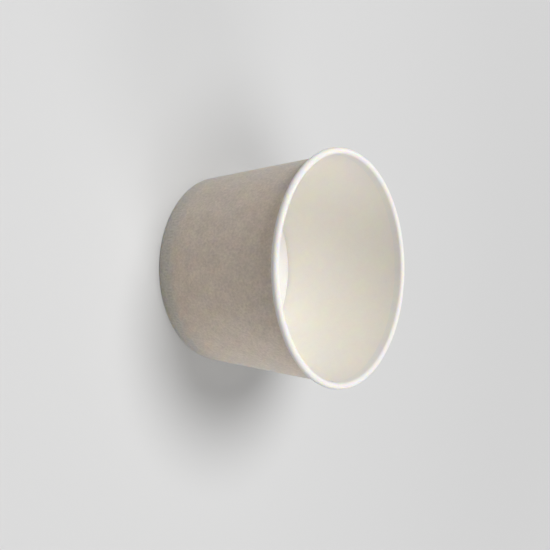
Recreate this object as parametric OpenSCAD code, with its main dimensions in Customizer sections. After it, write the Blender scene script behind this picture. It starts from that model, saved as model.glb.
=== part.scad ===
// Round paper soup container of about 240 ml, open at the top, standing on its foot.
// The side wall is one blank of board, rolled into a cone and lapped at a side seam.
// Its top edge is rolled outward into the rim and its lower edge is folded in as a hem.
// The bottom is a second piece, a disc whose turned-down edge is sealed inside the hem.

/* [Overall] */
// Outer diameter over the rolled rim
rim_d = 91; // [86:0.5:96]
// Outer diameter of the wall at the foot
base_d = 75.5; // [70:0.5:80]
// Height from the foot to the top of the rolled rim
height = 61.5; // [50:0.5:90]

/* [Board] */
// Thickness of the side wall's board
wall_t = 0.4; // [0.3:0.05:0.5]
// Thickness of the bottom disc's board
bottom_t = 0.35; // [0.25:0.05:0.5]
// Thin gap between plies that are sealed face to face
seal_gap = 0.02; // [0.01:0.01:0.05]

/* [Rim] */
// Diameter of the rolled rim's section
curl_d = 2.7; // [2.4:0.1:3.2]
// How much the roll's radius shrinks where it tightens
curl_step = 0.35; // [0.25:0.05:0.45]
// Angle below level, on the outside, where the roll tightens
curl_tight_a = 60; // [45:5:80]
// Angle that the tighter turn goes on for, up to the board's edge
curl_turn_a = 160; // [90:5:170]

/* [Foot] */
// Height of the floor's upper face above the foot
floor_h = 7; // [5:0.5:10]
// Outer radius of the bend at the edge of the bottom disc
bend_r = 0.8; // [0.6:0.1:1.2]
// Distance from the hem's edge up to the bend of the bottom disc
hem_drop = 0.1; // [0.05:0.05:2]

/* [Side seam] */
// Width of the overlap, at mid height
seam_w = 8; // [5:0.5:12]
// Width over which the outer ply comes down beside the overlap
ramp_w = 4; // [3:0.5:5]
// Direction of the seam round the axis, in degrees from +X
seam_a = -12; // [-180:1:180]

/* [Hidden] */
$fn = 96;

// The rim's roll, and the slope of the wall that runs up to meet it
curl_r = curl_d / 2;
curl_x = rim_d / 2 - curl_r;
curl_z = height - curl_r;
base_in = base_d / 2 - wall_t;
slant = norm([curl_x - base_in, curl_z]);
taper = atan((curl_x - base_in) / curl_z) - asin(curl_r / slant);
wall_len = sqrt(slant * slant - curl_r * curl_r);
tight_r = curl_r - curl_step;
tight_x = curl_x + curl_step * cos(curl_tight_a);
tight_z = curl_z - curl_step * sin(curl_tight_a);
tight_end_a = -curl_tight_a - curl_turn_a;
arc_step_a = 12;

// The foot's fold, with the pocket that holds the bottom disc's edge
pocket_w = bottom_t + 2 * seal_gap;
fold_out_x = base_in + wall_t * tan(taper);
fold_in_x = fold_out_x - pocket_w / cos(taper);
bend_z = floor_h - bend_r;
bend_x = base_in + bend_z * tan(taper) - (seal_gap + bend_r) / cos(taper);
bend_up = (bend_x - base_in) * sin(taper) + bend_z * cos(taper);
hem_up = bend_up - hem_drop;
skirt_up = (wall_t + seal_gap) / cos(taper);

// The side seam, as angles round the axis
seam_r = base_d / 2 + height / 2 * tan(taper);
lap_a = seam_w / seam_r * 180 / PI;
ramp_a = ramp_w / seam_r * 180 / PI;
ramp_end = (seam_r + wall_t) * [cos(ramp_a), sin(ramp_a)];
ramp_tilt = atan((ramp_end[0] - seam_r) / ramp_end[1]);
lap_top = wall_len - curl_step;

// A point at a distance out from the wall's inner face and a distance up its slope
function on_wall(out, up) =
    [base_in + out * cos(taper) + up * sin(taper), up * cos(taper) - out * sin(taper)];

// Points along an arc, from one angle to another
function arc(x, z, r, from_a, to_a) =
    let (steps = ceil(abs(to_a - from_a) / arc_step_a))
    [for (i = [0 : steps])
        let (a = from_a + (to_a - from_a) * i / steps)
        [x + r * cos(a), z + r * sin(a)]];

// Section of the side wall as one bent board: from the hem's edge down and round the fold,
// up the outside and round the rim to the edge in the roll, then back along the other face
module wall_section() {
    polygon(concat(
        [on_wall(-pocket_w, hem_up), on_wall(-pocket_w - wall_t, hem_up)],
        arc(fold_in_x, wall_t, wall_t, 180 - taper, 270),
        arc(fold_out_x, wall_t, wall_t, -90, -taper),
        arc(curl_x, curl_z, curl_r - wall_t, 180 - taper, -curl_tight_a),
        arc(tight_x, tight_z, tight_r - wall_t, -curl_tight_a, tight_end_a),
        arc(tight_x, tight_z, tight_r, tight_end_a, -curl_tight_a),
        arc(curl_x, curl_z, curl_r, -curl_tight_a, 0),
        arc(curl_x, curl_z, curl_r, 0, 90),
        arc(curl_x, curl_z, curl_r, 90, 180 - taper),
        [[fold_out_x, wall_t], [fold_in_x, wall_t]]
    ));
}

// Section of the outer ply over the overlap, rooted half way into the ply below it
module lap_section() {
    root = wall_t / 2;
    polygon(concat(
        [[fold_out_x - root, 0]],
        arc(fold_out_x + wall_t / cos(taper), wall_t, wall_t, -90, -taper),
        [on_wall(2 * wall_t, lap_top), on_wall(root, lap_top), on_wall(root, wall_t)]
    ));
}

// All that lies inside a plane along the sloping ply beside the overlap.
// The plane is the ply's outer face, moved in by some depth.
module inside_ramp(depth) {
    rotate([0, taper, -ramp_tilt])
        translate([base_in + wall_t - depth - rim_d, -rim_d / 2, -rim_d / 2])
            cube([rim_d, rim_d, height + rim_d]);
}

// The outer ply over the overlap, coming down flat onto the wall beside it.
// Angle 0 is where it meets the wall.
module lap() {
    lead = lap_a / 6;
    intersection() {
        rotate(-lead)
            rotate_extrude(angle = lead + ramp_a + lap_a)
                lap_section();
        inside_ramp(0);
    }
}

// The hollow that the lifted ply leaves inside, up to the edge of the inner ply
module inner_step() {
    intersection() {
        translate([0, 0, floor_h])
            rotate_extrude(angle = ramp_a)
                square([rim_d, curl_z - curl_r - floor_h]);
        inside_ramp(wall_t);
    }
}

// Side wall: one blank of board with its rolled rim, folded foot and lapped seam
module side_wall() {
    color([0.93, 0.91, 0.87])
        rotate(seam_a - lap_a / 2 - ramp_a)
            difference() {
                union() {
                    rotate_extrude()
                        wall_section();
                    lap();
                }
                inner_step();
            }
}

// Bottom disc: flat floor with its edge turned down into the foot's pocket
module bottom_disc() {
    color([0.95, 0.93, 0.89])
        rotate_extrude()
            polygon(concat(
                [[0, floor_h]],
                arc(bend_x, bend_z, bend_r, 90, -taper),
                [on_wall(-seal_gap, skirt_up), on_wall(-seal_gap - bottom_t, skirt_up)],
                arc(bend_x, bend_z, bend_r - bottom_t, -taper, 90),
                [[0, floor_h - bottom_t]]
            ));
}

side_wall();
bottom_disc();
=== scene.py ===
"""Paper soup container: white board, rolled rim, folded foot and lapped side seam."""

import math

import bmesh
import bpy
from mathutils import Matrix, Vector

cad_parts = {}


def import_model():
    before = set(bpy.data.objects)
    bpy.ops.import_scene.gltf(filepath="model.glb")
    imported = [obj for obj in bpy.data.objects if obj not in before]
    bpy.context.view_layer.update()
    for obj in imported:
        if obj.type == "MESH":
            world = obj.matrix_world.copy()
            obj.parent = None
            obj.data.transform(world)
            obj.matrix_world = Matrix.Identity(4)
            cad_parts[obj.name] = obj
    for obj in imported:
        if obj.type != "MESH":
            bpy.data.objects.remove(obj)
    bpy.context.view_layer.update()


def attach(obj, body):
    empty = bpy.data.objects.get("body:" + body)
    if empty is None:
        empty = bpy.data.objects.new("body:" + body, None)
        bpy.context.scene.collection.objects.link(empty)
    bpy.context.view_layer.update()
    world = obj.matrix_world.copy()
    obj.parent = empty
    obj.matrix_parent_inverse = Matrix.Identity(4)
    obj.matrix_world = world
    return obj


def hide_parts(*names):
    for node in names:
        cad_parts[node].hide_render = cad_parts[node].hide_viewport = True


MM = 0.001

# Sizes of the container, in millimetres and degrees
RIM_R = 45.5
FOOT_R = 37.75
HEIGHT = 61.5
WALL_T = 0.4
BOTTOM_T = 0.35
SEAL_GAP = 0.02
CURL_R = 1.35
CURL_STEP = 0.35
CURL_TIGHT_A = -60.0
CURL_END_A = -220.0
FLOOR_H = 7.0
BEND_R = 0.8
HEM_DROP = 0.1
SEAM_W = 8.0
RAMP_W = 6.0  # softer beside the lap than the solid's 4
SEAM_A = -12.0

# How finely the surfaces are divided
COLUMNS = 400
ARC_STEP_A = 9.0
ARC_LEAST_STEPS = 4
WALL_ROWS = 26
HEM_ROWS = 5
DISC_RINGS = 16
HALF_SHARE = 0.49  # of the board's thickness, on each side of its middle
ROLLED_ZONES = ("curl", "roll")
EDGE_GAP_A = 0.02  # between the two columns at a ply's edge
EDGE_CLEAR_A = 4 * EDGE_GAP_A  # no other column comes nearer to the inner ply's edge
SHARP_A = 35.0
WELD_M = 0.000001

# The outer ply is pressed down where it runs up under the rim's roll
LAP_FADE = 2.0
LAP_LEFT_SHARE = 0.3  # of its thickness that still stands out there

# Knurl pressed into the foot, through the three plies, with painted shade in its grooves
KNURL_COUNT = 190
KNURL_LOW = 3.0
KNURL_HIGH = 6.2
KNURL_DEPTH = 0.016
KNURL_PAINTED_SHADE = 0.16  # painted shade: how much darker the grooves are painted
KNURL_FULL_SHARE = 0.6  # of the band's half height, where the ribs are at full depth
KNURL_SHADE_PATCHES = -0.4  # factor on the grooves' painted shade where the cloudy patches are darkest

# Unevenness of the formed board, in millimetres
WAVE_WALL = 0.05
WAVE_FLOOR = 0.10
DISC_CALM_R = 12.0  # the floor's waves that turn with the angle die out inside this
WAVE_START = 9.0  # height where the wall's unevenness starts
WAVE_GROW = 12.0
FLOOR_DOME = 0.6  # share of the floor's unevenness that is the same all round

# Waves: share, count round the container, phase, and radians a millimetre up or out
WALL_WAVES = ((0.5, 2, 0.7, 0.0), (0.3, 3, 0.0, 0.05), (0.2, 7, 1.9, 0.11), (0.1, 13, 0.0, 0.17))
FLOOR_WAVES = ((0.25, 2, 0.4, 0.0), (0.15, 3, 0.0, 0.3))

# Camera, found from the outlines in the photograph
CAMERA_AT = (-57.49, -281.19, 240.39)
CAMERA_RIGHT = (0.1201, 0.5837, 0.8030)
CAMERA_UP = (-0.9785, 0.2064, -0.0037)
FOCAL_SHARE = 895.0 / 550.0
SENSOR_MM = 36.0
CLIP_M = (0.01, 20)  # nearest and farthest that the camera sees, in metres

# Colours, linear
BOARD_COLOR = (0.85, 0.795, 0.715)
COATED_COLOR = (0.95, 0.895, 0.85)
# Painted shade: the rim is the coated board, given a darker and greyer colour than COATED_COLOR against
# the strong light on it
ROLLED_DIMMED_COLOR = (0.90, 0.88, 0.85)
DISC_COLOR = (0.82, 0.80, 0.77)
STAGE_GRAY = 0.52
STAGE_SHOWN_GRAY = 0.68  # the floor as the picture shows it

# Roughness, share by which patches darken, and depth of the grain in millimetres
BOARD_LOOK = (0.78, 0.20, 0.058)
COATED_LOOK = (0.50, 0.02, 0.005)
ROUGHNESS_SPREAD = 0.05
BOARD_IOR = 1.45
BOARD_SPECULAR = 0.3
STAGE_ROUGHNESS = 0.9
STAGE_SPECULAR = 0.1

# How far light travels in the board, in millimetres, for red, green and blue
SCATTER_MM = (0.62, 0.47, 0.20)
ROLLED_SCATTER = 0.25  # share of it in the rolled rim, where the board is bent double

# The board's cloudy patches, flecks and fibres: size in millimetres, squash along the axis, detail
CLOUD = (6.0, 1.0, 3.0)
FLECK = (0.9, 0.8, 4.0)
STRAND = (1.1, 3.5, 3.0)
NOISE_ROUGHNESS = 0.6
NOISE_RANGE = (0.3, 0.7)  # where most of a noise texture's values lie

# Lights: name, direction to it, distance and width in metres, watts
LIGHTS = (
    ("key", (-0.38, 0.0, 0.925), 1.60, 1.00, 20.0),
    ("second", (0.28, -0.27, 0.92), 1.60, 1.00, 6.8),
    ("low", (0.90, 0.0, 0.44), 1.60, 1.00, 6.6),
)
WORLD_STRENGTH = 0.065
BACKDROP_STRENGTH = 0.68
STAGE_R = 3.0
STAGE_NEAR = 0.18  # where the floor starts to take the backdrop's colour, in metres
STAGE_FAR = 0.60


# Sections of the board


def wall_slope():
    """Angle of the wall from upright, and its length up to the rim's roll."""
    run = (RIM_R - CURL_R) - (FOOT_R - WALL_T)
    rise = HEIGHT - CURL_R
    slant = math.hypot(run, rise)
    lean = math.atan2(run, rise) - math.asin(CURL_R / slant)
    return lean, math.sqrt(slant * slant - CURL_R * CURL_R)


LEAN, WALL_LEN = wall_slope()
LEAN_A = math.degrees(LEAN)
OUT = (math.cos(LEAN), -math.sin(LEAN))
POCKET_W = BOTTOM_T + 2 * SEAL_GAP
FOLD_OUT = (FOOT_R - WALL_T + WALL_T * math.tan(LEAN), WALL_T)
FOLD_IN = (FOLD_OUT[0] - POCKET_W / math.cos(LEAN), WALL_T)
CURL_AT = (RIM_R - CURL_R, HEIGHT - CURL_R)
TIGHT_R = CURL_R - CURL_STEP


def on_wall(out, up):
    """A point at a distance out from the wall's inner face and a distance up its slope."""
    c, s = math.cos(LEAN), math.sin(LEAN)
    return (FOOT_R - WALL_T + out * c + up * s, up * c - out * s)


def up_slope(point):
    """How far up the slope a point lies."""
    return (point[0] - (FOOT_R - WALL_T)) * math.sin(LEAN) + point[1] * math.cos(LEAN)


def bend_centre():
    """Centre of the bend at the edge of the bottom disc."""
    up = FLOOR_H - BEND_R
    return (on_wall(0, up / math.cos(LEAN))[0] - (SEAL_GAP + BEND_R) / math.cos(LEAN), up)


BEND_AT = bend_centre()


def angles(start, end):
    """Even steps from one angle to another, with both ends."""
    steps = max(ARC_LEAST_STEPS, math.ceil(abs(end - start) / ARC_STEP_A))
    return [start + (end - start) * i / steps for i in range(steps + 1)]


def arc_rows(centre, radius, start, end, side, zone):
    """Rows along an arc. side is 1 if the uncoated face looks away from the centre."""
    rows = []
    for a in angles(start, end):
        n = (math.cos(math.radians(a)), math.sin(math.radians(a)))
        at = (centre[0] + radius * n[0], centre[1] + radius * n[1])
        rows.append((at, (side * n[0], side * n[1]), zone))
    return rows


def line_rows(start, end, normal, count, zone):
    """Rows between two points, without the ends."""
    rows = []
    for i in range(1, count):
        t = i / count
        at = tuple(a + (b - a) * t for a, b in zip(start, end))
        rows.append((at, normal, zone))
    return rows


def side_wall_rows():
    """Middle of the side wall's board, from the hem's edge to the edge in the roll."""
    inward = (-OUT[0], -OUT[1])
    half = WALL_T / 2
    hem_top = on_wall(-POCKET_W - half, up_slope(BEND_AT) - HEM_DROP)
    hem_foot = (FOLD_IN[0] - half * OUT[0], FOLD_IN[1] - half * OUT[1])
    wall_foot = (FOLD_OUT[0] + half * OUT[0], FOLD_OUT[1] + half * OUT[1])
    wall_top = on_wall(half, WALL_LEN)
    tight_at = (
        CURL_AT[0] + CURL_STEP * math.cos(math.radians(CURL_TIGHT_A)),
        CURL_AT[1] + CURL_STEP * math.sin(math.radians(CURL_TIGHT_A)),
    )
    rows = [(hem_top, inward, "hem")]
    rows += line_rows(hem_top, hem_foot, inward, HEM_ROWS, "hem")
    rows += arc_rows(FOLD_IN, half, 180 - LEAN_A, 270, 1, "hem")
    rows += arc_rows(FOLD_OUT, half, -90, -LEAN_A, 1, "foot")
    rows += line_rows(wall_foot, wall_top, OUT, WALL_ROWS, "wall")
    rows += arc_rows(CURL_AT, CURL_R - half, 180 - LEAN_A, CURL_TIGHT_A, -1, "curl")
    rows += arc_rows(tight_at, TIGHT_R - half, CURL_TIGHT_A, CURL_END_A, -1, "roll")[1:]
    return rows


def disc_rows():
    """Middle of the bottom disc's board, from its centre to its turned-down edge."""
    half = BOTTOM_T / 2
    up = (0.0, 1.0)
    centre = (0.0, FLOOR_H - half)
    edge = (BEND_AT[0], FLOOR_H - half)
    skirt_foot = on_wall(-SEAL_GAP - half, (WALL_T + SEAL_GAP) / math.cos(LEAN))
    skirt_top = on_wall(-SEAL_GAP - half, up_slope(BEND_AT))
    rows = [(centre, up, "disc")]
    rows += line_rows(centre, edge, up, DISC_RINGS, "disc")
    rows += arc_rows(BEND_AT, BEND_R - half, 90, -LEAN_A, 1, "bend")
    rows += line_rows(skirt_top, skirt_foot, OUT, HEM_ROWS, "skirt")
    rows.append((skirt_foot, OUT, "skirt"))
    return rows


# The seam and the unevenness round the container


def seam_angles():
    """Widths of the overlap and of the slope beside it, in degrees at mid height."""
    middle = FOOT_R + HEIGHT / 2 * math.tan(LEAN)
    return math.degrees(SEAM_W / middle), math.degrees(RAMP_W / middle)


LAP_A, RAMP_A = seam_angles()
LAP_START = SEAM_A - LAP_A / 2
LAP_END = SEAM_A + LAP_A / 2


def smooth(t):
    """Eased step from 0 to 1."""
    t = min(max(t, 0.0), 1.0)
    return t * t * (3 - 2 * t)


def waves(table, a, along):
    """Sum of a table's waves at an angle in radians and a distance in millimetres."""
    return sum(share * math.sin(count * a + phase + rate * along) for share, count, phase, rate in table)


def columns():
    """Angles round the axis. They start at the outer ply's edge, with two at each ply's edge."""
    even = [LAP_END + 360.0 * i / COLUMNS for i in range(1, COLUMNS)]
    inner = LAP_START + 360.0
    even = [a for a in even if abs(a - inner) > EDGE_CLEAR_A]
    ends = [LAP_END + EDGE_GAP_A / 2, LAP_END + 360.0 - EDGE_GAP_A / 2]
    pair = [inner - EDGE_GAP_A / 2, inner + EDGE_GAP_A / 2]
    return sorted(even + ends + pair)


def lift(angle):
    """Share of a board's thickness that the outer ply is raised by: (outside, inside)."""
    before = LAP_START + 360.0
    raised = smooth((angle - (before - RAMP_A)) / RAMP_A)
    return raised, (raised if angle < before else 0.0)


def wall_wave(angle, z):
    """Slow unevenness of the wall, as a move away from the axis."""
    grow = smooth((z - WAVE_START) / WAVE_GROW)
    return WAVE_WALL * grow * waves(WALL_WAVES, math.radians(angle), z)


def floor_wave(angle, r):
    """Slow unevenness of the floor, as a move upwards."""
    free = 1 - smooth(r / (FOOT_R - 2 * BEND_R))
    turned = smooth(r / DISC_CALM_R)
    wave = waves(FLOOR_WAVES, math.radians(angle), r)
    return WAVE_FLOOR * free * (FLOOR_DOME + turned * wave)


def side_wall_face(rows, angle, uncoated):
    """One face's points at one angle, as distance from the axis and height."""
    outside, inside = lift(angle)
    points = []
    side = 1 if uncoated else -1
    for at, n, zone in rows:
        r = at[0] + side * HALF_SHARE * WALL_T * n[0]
        z = at[1] + side * HALF_SHARE * WALL_T * n[1]
        pressed = smooth((WALL_LEN - up_slope(at)) / LAP_FADE)
        if zone in ("foot", "wall") and uncoated:
            left = LAP_LEFT_SHARE + (1 - LAP_LEFT_SHARE) * pressed
            r += WALL_T / math.cos(LEAN) * outside * left
        elif zone == "wall":
            r += WALL_T / math.cos(LEAN) * inside * pressed
        if zone in ("wall", "curl", "roll"):
            r += wall_wave(angle, min(z, HEIGHT - CURL_R))
        points.append((r, z))
    return points


def disc_face(rows, angle, upper):
    """One face's points at one angle, as distance from the axis and height."""
    points = []
    side = 1 if upper else -1
    for at, n, zone in rows:
        r = at[0] + side * HALF_SHARE * BOTTOM_T * n[0]
        z = at[1] + side * HALF_SHARE * BOTTOM_T * n[1]
        if zone == "disc":
            z += floor_wave(angle, at[0])
        points.append((r, z))
    return points


# Meshes


def add_object(name, data):
    """A new object in the scene."""
    thing = bpy.data.objects.new(name, data)
    bpy.context.scene.collection.objects.link(thing)
    return thing


def skin(name, rows, face, turns, materials, weld):
    """A closed skin round the axis from a board's two faces.

    Slot 0 is the first face, slot 1 is the second and slot 2 is the rolled part of both.
    """
    count = len(rows)
    verts = []
    for angle in turns:
        c, s = math.cos(math.radians(angle)), math.sin(math.radians(angle))
        loop = face(rows, angle, True) + face(rows, angle, False)[::-1]
        verts += [(r * c * MM, r * s * MM, z * MM) for r, z in loop]
    ring = 2 * count
    faces, slots = [], []
    for i in range(len(turns)):
        j = (i + 1) % len(turns)
        for k in range(ring):
            m = (k + 1) % ring
            faces.append((i * ring + k, i * ring + m, j * ring + m, j * ring + k))
            row = min(k, ring - 1 - k)
            second = 1 if count <= k < ring - 1 else 0
            slots.append(2 if rows[row][2] in ROLLED_ZONES else second)
    mesh = bpy.data.meshes.new(name)
    mesh.from_pydata(verts, [], faces)
    mesh.polygons.foreach_set("material_index", slots)
    for material in materials:
        mesh.materials.append(material)
    tidy = bmesh.new()
    tidy.from_mesh(mesh)
    if weld:
        bmesh.ops.remove_doubles(tidy, verts=tidy.verts, dist=WELD_M)
    bmesh.ops.recalc_face_normals(tidy, faces=tidy.faces)
    tidy.to_mesh(mesh)
    tidy.free()
    mesh.shade_smooth()
    mesh.set_sharp_from_angle(angle=math.radians(SHARP_A))
    return add_object(name, mesh)


# Materials


def material_nodes(name):
    """A new material with its nodes, links and shader."""
    material = bpy.data.materials.new(name)
    material.use_nodes = True
    tree = material.node_tree
    return material, tree.nodes, tree.links, tree.nodes["Principled BSDF"]


def noise(nodes, links, kind):
    """Value of a noise texture with grains of some kind, such as CLOUD."""
    size_mm, squash, detail = kind
    place = nodes.new("ShaderNodeTexCoord")
    mapping = nodes.new("ShaderNodeMapping")
    grain = 1 / (size_mm * MM)
    mapping.inputs["Scale"].default_value = (grain, grain, grain * squash)
    links.new(place.outputs["Object"], mapping.inputs["Vector"])
    texture = nodes.new("ShaderNodeTexNoise")
    texture.inputs["Scale"].default_value = 1.0
    texture.inputs["Detail"].default_value = detail
    texture.inputs["Roughness"].default_value = NOISE_ROUGHNESS
    links.new(mapping.outputs["Vector"], texture.inputs["Vector"])
    return texture.outputs["Fac"]


def ranged(nodes, links, value, low, high):
    """The middle of a noise value's range, mapped to low and high."""
    node = nodes.new("ShaderNodeMapRange")
    node.inputs["From Min"].default_value = NOISE_RANGE[0]
    node.inputs["From Max"].default_value = NOISE_RANGE[1]
    node.inputs["To Min"].default_value = low
    node.inputs["To Max"].default_value = high
    links.new(value, node.inputs["Value"])
    return node.outputs["Result"]


def maths(nodes, links, operation, a, b):
    """A Math node with sockets or plain values as its two inputs."""
    node = nodes.new("ShaderNodeMath")
    node.operation = operation
    for value, socket in zip((a, b), node.inputs):
        if isinstance(value, (int, float)):
            socket.default_value = value
        else:
            links.new(value, socket)
    return node.outputs["Value"]


def knurl(nodes, links):
    """Ribs round the foot, from -1 to 1, that fade out above and below the pressed band."""
    place = nodes.new("ShaderNodeTexCoord")
    parts = nodes.new("ShaderNodeSeparateXYZ")
    links.new(place.outputs["Object"], parts.inputs["Vector"])
    turn = maths(nodes, links, "ARCTAN2", parts.outputs["Y"], parts.outputs["X"])
    wave = maths(nodes, links, "SINE", maths(nodes, links, "MULTIPLY", turn, KNURL_COUNT), 0.0)
    band = maths(nodes, links, "SUBTRACT", parts.outputs["Z"], (KNURL_LOW + KNURL_HIGH) / 2 * MM)
    off = maths(nodes, links, "ABSOLUTE", band, 0.0)
    within = nodes.new("ShaderNodeMapRange")
    within.interpolation_type = "SMOOTHSTEP"
    half = (KNURL_HIGH - KNURL_LOW) / 2 * MM
    within.inputs["From Min"].default_value = half * KNURL_FULL_SHARE
    within.inputs["From Max"].default_value = half
    within.inputs["To Min"].default_value = 1.0
    within.inputs["To Max"].default_value = 0.0
    links.new(off, within.inputs["Value"])
    return maths(nodes, links, "MULTIPLY", wave, within.outputs["Result"])


def board_material(name, color, look, knurled=False, scatter_share=1.0):
    """Board: cloudy formation, fine fibres, and light that passes through it; when knurled, also ribs
    with painted shade in their grooves.
    """
    roughness, mottle, grain_mm = look
    material, nodes, links, shader = material_nodes(name)
    cloud = noise(nodes, links, CLOUD)
    fleck = noise(nodes, links, FLECK)
    strand = noise(nodes, links, STRAND)
    clouded = ranged(nodes, links, cloud, 1 - mottle / 2, 1.0)
    shade = maths(nodes, links, "MULTIPLY", clouded, ranged(nodes, links, fleck, 1 - mottle, 1.0))
    rough = maths(nodes, links, "ADD", fleck, strand)
    height = maths(nodes, links, "MULTIPLY", rough, grain_mm)
    if knurled:
        ribs = knurl(nodes, links)
        height = maths(nodes, links, "ADD", height, maths(nodes, links, "MULTIPLY", ribs, KNURL_DEPTH))
        # Painted shade: the ribs' grooves are darkened, more in some cloudy patches than in others
        groove_shade = maths(nodes, links, "MULTIPLY", maths(nodes, links, "MINIMUM", ribs, 0.0), KNURL_PAINTED_SHADE)
        patchy_groove_shade = maths(nodes, links, "MULTIPLY", groove_shade, ranged(nodes, links, cloud, KNURL_SHADE_PATCHES, 1.0))
        shade = maths(nodes, links, "ADD", shade, patchy_groove_shade)
    tint = nodes.new("ShaderNodeVectorMath")
    tint.operation = "SCALE"
    tint.inputs[0].default_value = color
    links.new(shade, tint.inputs["Scale"])
    links.new(tint.outputs["Vector"], shader.inputs["Base Color"])
    low, high = roughness - ROUGHNESS_SPREAD, roughness + ROUGHNESS_SPREAD
    links.new(ranged(nodes, links, fleck, low, high), shader.inputs["Roughness"])
    shader.inputs["Subsurface Weight"].default_value = 1.0
    shader.inputs["Subsurface Radius"].default_value = SCATTER_MM
    shader.inputs["Subsurface Scale"].default_value = scatter_share * MM
    shader.inputs["IOR"].default_value = BOARD_IOR
    shader.inputs["Specular IOR Level"].default_value = BOARD_SPECULAR
    bump = nodes.new("ShaderNodeBump")
    bump.inputs["Strength"].default_value = 1.0
    bump.inputs["Distance"].default_value = MM
    links.new(height, bump.inputs["Height"])
    links.new(bump.outputs["Normal"], shader.inputs["Normal"])
    return material


def shown_rays(nodes, links):
    """1 for the rays that show a surface in the picture, straight or in metal or glass."""
    path = nodes.new("ShaderNodeLightPath")
    mirrored = maths(
        nodes, links, "MAXIMUM", path.outputs["Is Glossy Ray"], path.outputs["Is Transmission Ray"]
    )
    return maths(nodes, links, "MAXIMUM", path.outputs["Is Camera Ray"], mirrored)


def stage_material():
    """Matt floor that holds the shadow, and far off takes the backdrop's plain colour."""
    material, nodes, links, shader = material_nodes("stage")
    shown = shown_rays(nodes, links)
    gray = nodes.new("ShaderNodeMapRange")
    gray.inputs["To Min"].default_value = STAGE_GRAY
    gray.inputs["To Max"].default_value = STAGE_SHOWN_GRAY
    links.new(shown, gray.inputs["Value"])
    links.new(gray.outputs["Result"], shader.inputs["Base Color"])
    shader.inputs["Roughness"].default_value = STAGE_ROUGHNESS
    shader.inputs["Specular IOR Level"].default_value = STAGE_SPECULAR
    place = nodes.new("ShaderNodeTexCoord")
    reach = nodes.new("ShaderNodeVectorMath")
    reach.operation = "LENGTH"
    links.new(place.outputs["Object"], reach.inputs[0])
    far = nodes.new("ShaderNodeMapRange")
    far.interpolation_type = "SMOOTHSTEP"
    far.inputs["From Min"].default_value = STAGE_NEAR
    far.inputs["From Max"].default_value = STAGE_FAR
    links.new(reach.outputs["Value"], far.inputs["Value"])
    plain = nodes.new("ShaderNodeEmission")
    plain.inputs["Strength"].default_value = BACKDROP_STRENGTH
    mix = nodes.new("ShaderNodeMixShader")
    share = maths(nodes, links, "MULTIPLY", far.outputs["Result"], shown)
    links.new(share, mix.inputs["Fac"])
    links.new(shader.outputs["BSDF"], mix.inputs[1])
    links.new(plain.outputs["Emission"], mix.inputs[2])
    links.new(mix.outputs["Shader"], nodes["Material Output"].inputs["Surface"])
    return material


# Stage


def floor_plane():
    """Floor that the container stands on."""
    mesh = bpy.data.meshes.new("floor")
    r = STAGE_R
    mesh.from_pydata([(-r, -r, 0), (r, -r, 0), (r, r, 0), (-r, r, 0)], [], [(0, 1, 2, 3)])
    mesh.materials.append(stage_material())
    add_object("floor", mesh)


def lights():
    """Soft round lamps, all aimed at the container's middle."""
    aim = Vector((0, 0, HEIGHT / 2 * MM))
    for name, direction, distance, width, watts in LIGHTS:
        lamp = bpy.data.lights.new(name, "AREA")
        lamp.shape = "DISK"
        lamp.size = width
        lamp.energy = watts
        thing = add_object(name, lamp)
        away = Vector(direction).normalized()
        thing.location = aim + away * distance
        thing.rotation_mode = "QUATERNION"
        thing.rotation_quaternion = away.to_track_quat("Z", "Y")
        thing.visible_camera = False


def world_light():
    """Even light from all round, behind a plain pale backdrop that only the picture shows."""
    world = bpy.data.worlds.new("world")
    world.use_nodes = True
    nodes, links = world.node_tree.nodes, world.node_tree.links
    shade = nodes["Background"]
    shade.inputs["Color"].default_value = (1.0, 1.0, 1.0, 1.0)
    strength = nodes.new("ShaderNodeMapRange")
    strength.inputs["To Min"].default_value = WORLD_STRENGTH
    strength.inputs["To Max"].default_value = BACKDROP_STRENGTH
    links.new(shown_rays(nodes, links), strength.inputs["Value"])
    links.new(strength.outputs["Result"], shade.inputs["Strength"])
    bpy.context.scene.world = world


def camera():
    """The photograph's view."""
    lens = bpy.data.cameras.new("camera")
    lens.sensor_width = SENSOR_MM
    lens.lens = FOCAL_SHARE * SENSOR_MM
    lens.clip_start, lens.clip_end = CLIP_M
    thing = add_object("camera", lens)
    right = Vector(CAMERA_RIGHT).normalized()
    up = Vector(CAMERA_UP)
    up = (up - right * up.dot(right)).normalized()
    turn = Matrix((right, up, right.cross(up))).transposed()
    thing.matrix_world = Matrix.Translation(Vector(CAMERA_AT) * MM) @ turn.to_4x4()
    bpy.context.scene.camera = thing


# Build


def main():
    """Build the pieces round the solids, then the stage."""
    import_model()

    board = board_material("board", BOARD_COLOR, BOARD_LOOK, knurled=True)
    coated = board_material("coated_board", COATED_COLOR, COATED_LOOK)
    # The rim's board, with its colour painted down as shade against the lamps, and shorter scatter
    rolled = board_material("rolled_board", ROLLED_DIMMED_COLOR, COATED_LOOK, scatter_share=ROLLED_SCATTER)
    disc_top = board_material("disc_board", DISC_COLOR, COATED_LOOK)
    turns = columns()
    sides = (board, coated, rolled)
    wall = skin("rolled_wall", side_wall_rows(), side_wall_face, turns, sides, False)
    disc = skin("floor_disc", disc_rows(), disc_face, turns, (disc_top, board), True)
    for piece, node in ((wall, "side_wall"), (disc, "bottom_disc")):
        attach(piece, "root")
        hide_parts(node)

    floor_plane()
    lights()
    world_light()
    camera()
    bpy.context.scene.view_settings.view_transform = "Standard"


main()
